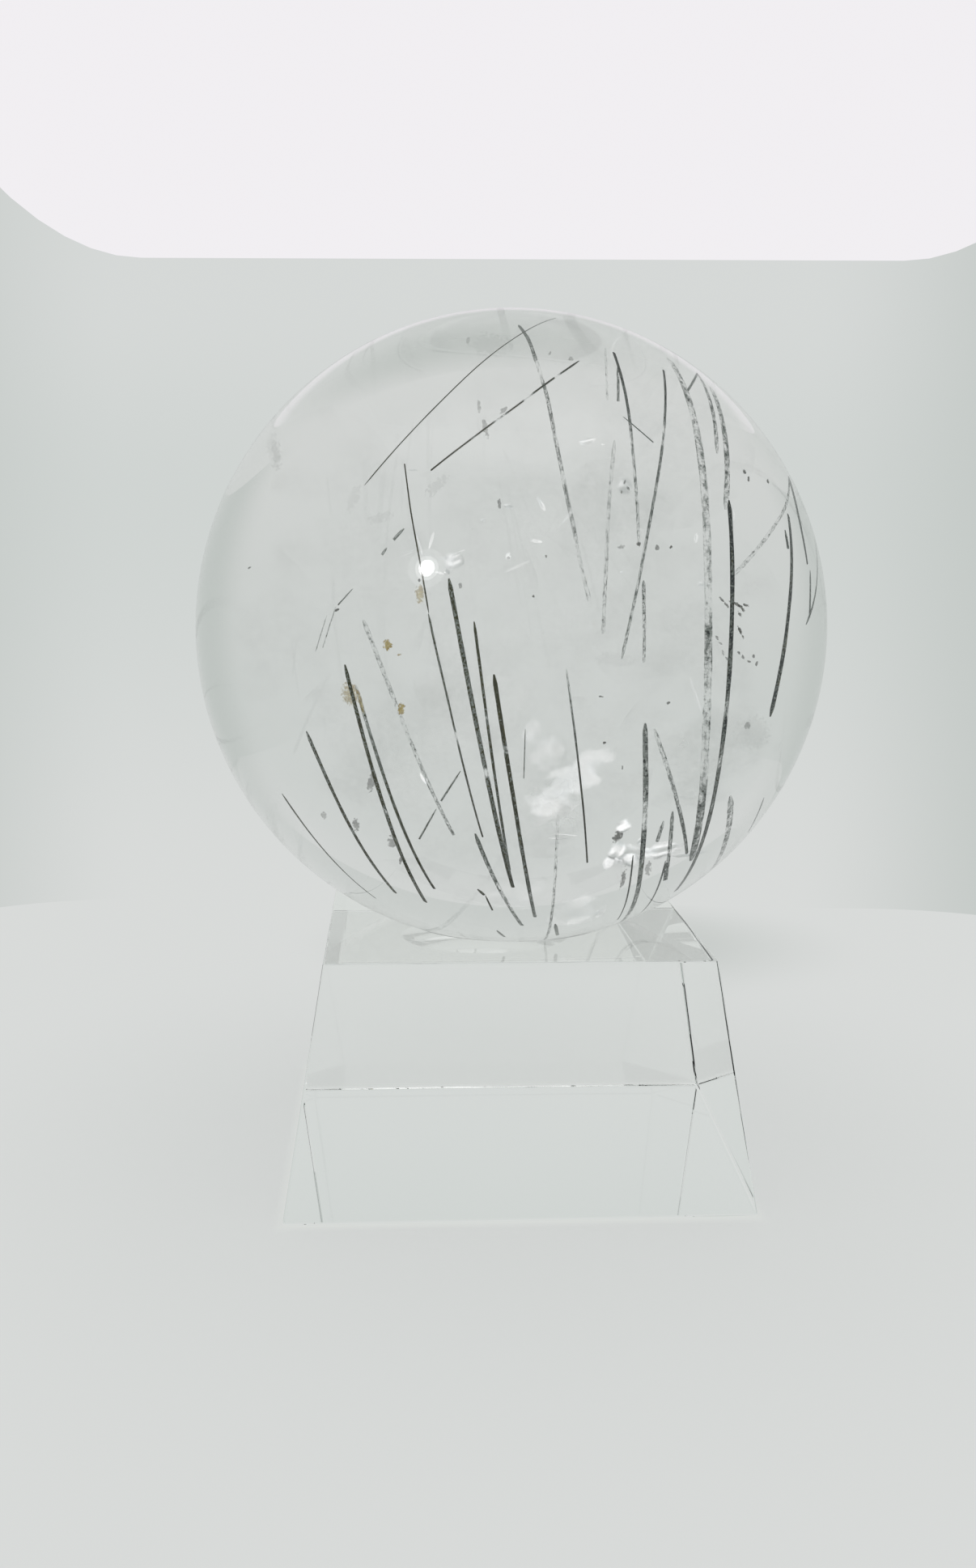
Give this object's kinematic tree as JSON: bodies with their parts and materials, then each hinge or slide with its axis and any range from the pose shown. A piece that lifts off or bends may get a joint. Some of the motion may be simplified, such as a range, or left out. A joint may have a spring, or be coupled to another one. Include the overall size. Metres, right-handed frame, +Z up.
{
  "type": "crystal ball",
  "caption": "Polished clear quartz ball with dark needle crystals inside, resting in a round dish on a clear glass block with sloping sides; the ball turns in its seat.",
  "frame": {"origin": "middle of the stand's base, on the surface it stands on", "axes": "+Z up through the middle of the ball, -Y towards the front of the stand, X along the stand's front edge"},
  "size_m": [0.088, 0.088, 0.1184],
  "materials": {
    "rock_crystal": "polished clear quartz",
    "stand_glass": "polished clear glass with ground edges",
    "tourmaline_dark": "dark green-black crystal, striped along its length",
    "tourmaline_pale": "clouded grey-green crystal"
  },
  "bodies": {
    "stand": {"glass_stand": "stand_glass"},
    "ball": {"quartz_ball": "rock_crystal", "needle_top_hair": "tourmaline_dark", "needle_top_slant": "tourmaline_dark", "needle_top_to_back": "tourmaline_dark", "needle_left_upper": "tourmaline_dark", "needle_right_top_thin": "tourmaline_dark", "needle_right_top_slant": "tourmaline_dark", "needle_right_top_short": "tourmaline_dark", "needle_right_upper": "tourmaline_dark", "needle_back_faint": "tourmaline_pale", "needle_left_long": "tourmaline_dark", "needle_left_pale": "tourmaline_pale", "needle_middle_dark": "tourmaline_dark", "needle_middle_thin": "tourmaline_dark", "needle_middle_low": "tourmaline_dark", "needle_middle_right": "tourmaline_dark", "needle_right_middle_short": "tourmaline_dark", "needle_spray_inner": "tourmaline_dark", "needle_spray_middle": "tourmaline_dark", "needle_spray_outer": "tourmaline_dark", "needle_spray_hair": "tourmaline_dark", "needle_bottom_left": "tourmaline_dark", "needle_bottom_middle": "tourmaline_dark", "needle_bottom_right": "tourmaline_dark", "needle_bottom_pale": "tourmaline_pale", "needle_right_long_front": "tourmaline_dark", "needle_right_long_back": "tourmaline_dark", "needle_rim_slant": "tourmaline_pale", "needle_rim_upper": "tourmaline_dark", "needle_rim_long": "tourmaline_dark", "needle_rim_short": "tourmaline_dark", "needle_rim_low": "tourmaline_pale"}
  },
  "joints": [
    {"name": "ball_turn", "type": "hinge", "parent": "stand", "child": "ball", "pos_m": [0, 0, 0.0744], "axis": [0, 0, 1], "continuous": true}
  ]
}
